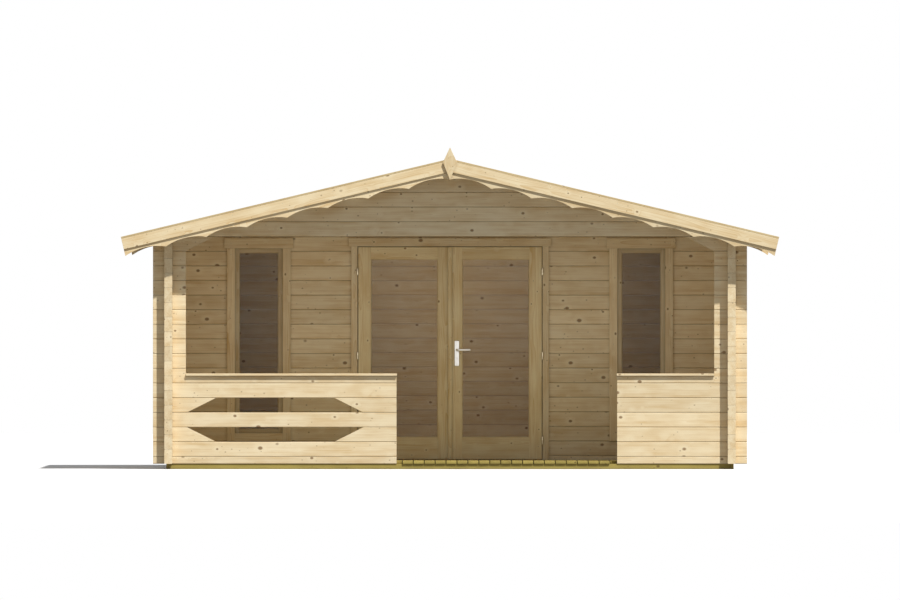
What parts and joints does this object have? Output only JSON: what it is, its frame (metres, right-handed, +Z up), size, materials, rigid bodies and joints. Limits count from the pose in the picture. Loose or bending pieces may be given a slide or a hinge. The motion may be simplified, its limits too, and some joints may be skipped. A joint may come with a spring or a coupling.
{
  "type": "log cabin",
  "caption": "Log cabin with notched corners, a covered veranda with log rails, a scalloped gable roof, tall side windows and glazed double doors that open outwards.",
  "frame": {"origin": "on the ground under the middle of the roof's outline", "axes": "+X to the right as seen from the front, +Y from the veranda to the rear, +Z up"},
  "size_m": [5.756, 5.6628, 2.8142],
  "materials": {
    "log": "planed spruce",
    "planed_board": "planed spruce board",
    "joinery": "sanded spruce",
    "treated_board": "pressure treated",
    "glass": "clear",
    "steel": "satin"
  },
  "bodies": {
    "cabin": {"left_wall": "log", "right_wall": "log", "rear_wall": "log", "rear_gable": "log", "front_wall_left_base": "log", "front_wall_right_base": "log", "front_wall_left_end": "log", "front_wall_right_end": "log", "front_wall_left_pier": "log", "front_wall_right_pier": "log", "front_gable": "log", "veranda_gable": "log", "left_rail": "log", "right_rail": "log", "left_corner_logs": "log", "right_corner_logs": "log", "roof_purlins": "log", "room_floor": "planed_board", "left_rail_cap": "planed_board", "right_rail_cap": "planed_board", "left_roof_boards": "planed_board", "right_roof_boards": "planed_board", "eave_fascias": "planed_board", "roof_edge_strips": "planed_board", "front_scallop_trim": "planed_board", "front_bargeboards": "planed_board", "front_finial": "planed_board", "rear_scallop_trim": "planed_board", "rear_bargeboards": "planed_board", "rear_finial": "planed_board", "left_window_frame": "planed_board", "left_window_casing": "planed_board", "right_window_frame": "planed_board", "right_window_casing": "planed_board", "door_frame": "planed_board", "door_stops": "planed_board", "door_casing": "planed_board", "left_window_sash": "joinery", "right_window_sash": "joinery", "ground_bearers": "treated_board", "floor_joists": "treated_board", "veranda_deck": "treated_board", "left_window_glass": "glass", "right_window_glass": "glass", "frame_hinges": "steel"},
    "left_door": {"left_door_leaf": "joinery", "left_door_glass": "glass", "left_door_hinges": "steel"},
    "right_door": {"right_door_leaf": "joinery", "right_door_glass": "glass", "right_door_hinges": "steel", "door_astragal": "joinery", "door_handle_plates": "steel"},
    "handle": {"door_handle": "steel"}
  },
  "joints": [
    {"name": "left_door_hinge", "type": "hinge", "parent": "cabin", "child": "left_door", "pos_m": [-0.81375, -1.0288, 0.988], "axis": [0, 0, -1], "range_deg": [0, 165]},
    {"name": "right_door_hinge", "type": "hinge", "parent": "cabin", "child": "right_door", "pos_m": [0.81375, -1.0288, 0.988], "axis": [0, 0, 1], "range_deg": [0, 165]},
    {"name": "handle_turn", "type": "hinge", "parent": "right_door", "child": "handle", "pos_m": [0.0605, -1, 1.04], "axis": [0, 1, 0], "range_deg": [0, 40], "stiffness_Nm_per_rad": 1.2, "springref_deg": -22.92}
  ]
}
